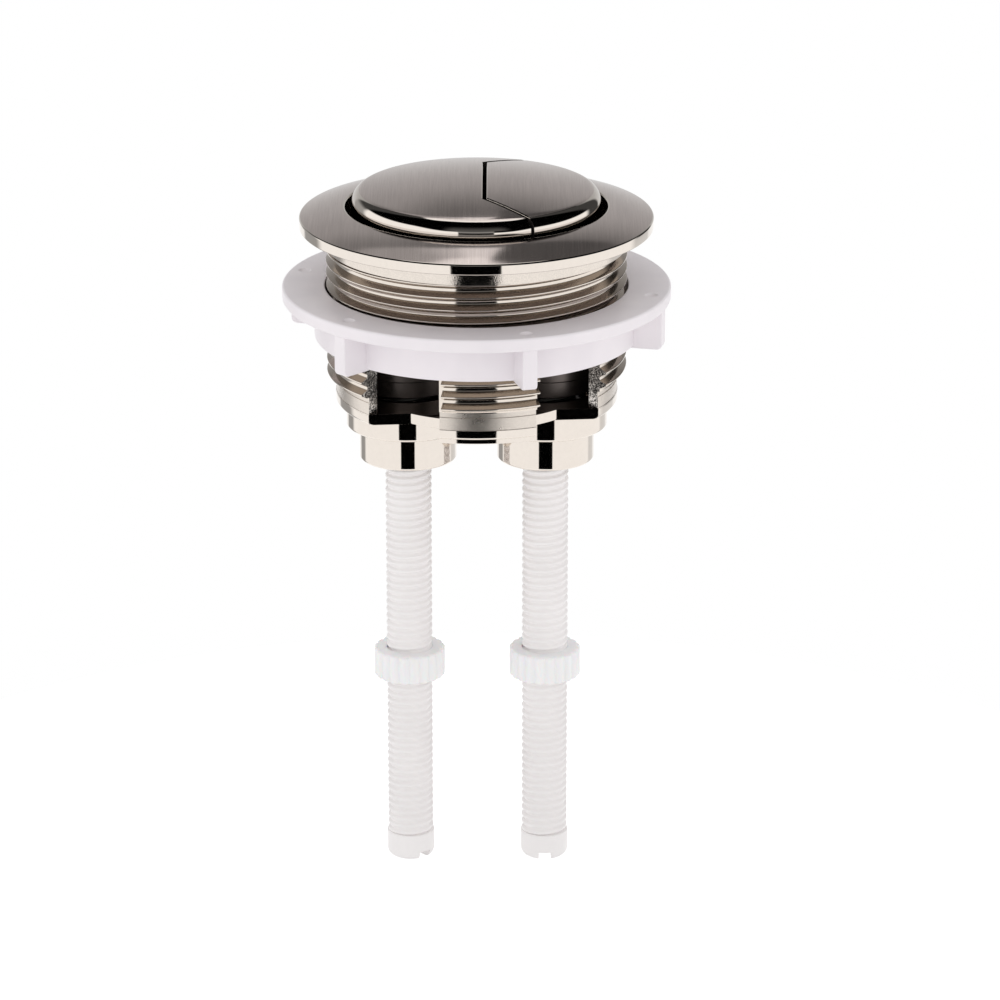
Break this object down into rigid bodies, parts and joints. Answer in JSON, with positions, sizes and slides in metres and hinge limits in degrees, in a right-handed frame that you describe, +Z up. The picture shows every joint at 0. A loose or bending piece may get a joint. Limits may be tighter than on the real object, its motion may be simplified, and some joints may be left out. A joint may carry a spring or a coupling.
{
  "type": "push button cistern actuator",
  "caption": "Round dual-flush push button for a toilet cistern: domed split button in a plated bezel on a threaded barrel, with a flange nut and adjustable push rods below.",
  "frame": {"origin": "middle of the seat plane, where the underside of the bezel lies on the cistern lid", "axes": "+Z up along the barrel's axis, +X towards the half-flush side, -Y towards the camera"},
  "size_m": [0.064, 0.064, 0.12],
  "materials": {
    "polished_nickel": "nickel plate on moulded plastic, polished, with a brushed bezel face",
    "brushed_nickel": "nickel plate on moulded plastic, brushed",
    "white_nut": "satin moulded plastic",
    "white_rod": "satin moulded plastic",
    "white_lock_nut": "slightly milky moulded plastic",
    "spring_steel": "bright drawn wire"
  },
  "bodies": {
    "housing": {"housing": "polished_nickel", "full_flush_spring": "spring_steel", "half_flush_spring": "spring_steel"},
    "full_flush_button": {"full_flush_button": "brushed_nickel"},
    "full_flush_rod": {"full_flush_rod": "white_rod"},
    "full_flush_rod_nut": {"full_flush_rod_nut": "white_lock_nut"},
    "half_flush_button": {"half_flush_button": "brushed_nickel"},
    "half_flush_rod": {"half_flush_rod": "white_rod"},
    "half_flush_rod_nut": {"half_flush_rod_nut": "white_lock_nut"},
    "flange_nut": {"flange_nut": "white_nut"}
  },
  "joints": [
    {"name": "full_flush_press", "type": "slide", "parent": "housing", "child": "full_flush_button", "axis": [0, 0, -1], "range_m": [0, 0.005], "stiffness_N_per_m": 400, "springref_m": -0.008, "deforming": ["full_flush_spring"]},
    {"name": "full_flush_rod_screw", "type": "slide", "parent": "full_flush_button", "child": "full_flush_rod", "axis": [0, 0, 1], "range_m": [-0.008, 0.0077]},
    {"name": "full_flush_rod_nut_screw", "type": "slide", "parent": "full_flush_rod", "child": "full_flush_rod_nut", "axis": [0, 0, 1], "range_m": [-0.028, 0.025]},
    {"name": "half_flush_press", "type": "slide", "parent": "housing", "child": "half_flush_button", "axis": [0, 0, -1], "range_m": [0, 0.005], "stiffness_N_per_m": 400, "springref_m": -0.008, "deforming": ["half_flush_spring"]},
    {"name": "half_flush_rod_screw", "type": "slide", "parent": "half_flush_button", "child": "half_flush_rod", "axis": [0, 0, 1], "range_m": [-0.008, 0.0077]},
    {"name": "half_flush_rod_nut_screw", "type": "slide", "parent": "half_flush_rod", "child": "half_flush_rod_nut", "axis": [0, 0, 1], "range_m": [-0.028, 0.025]},
    {"name": "flange_nut_screw", "type": "slide", "parent": "housing", "child": "flange_nut", "axis": [0, 0, 1], "range_m": [-0.006, 0.0095]}
  ]
}
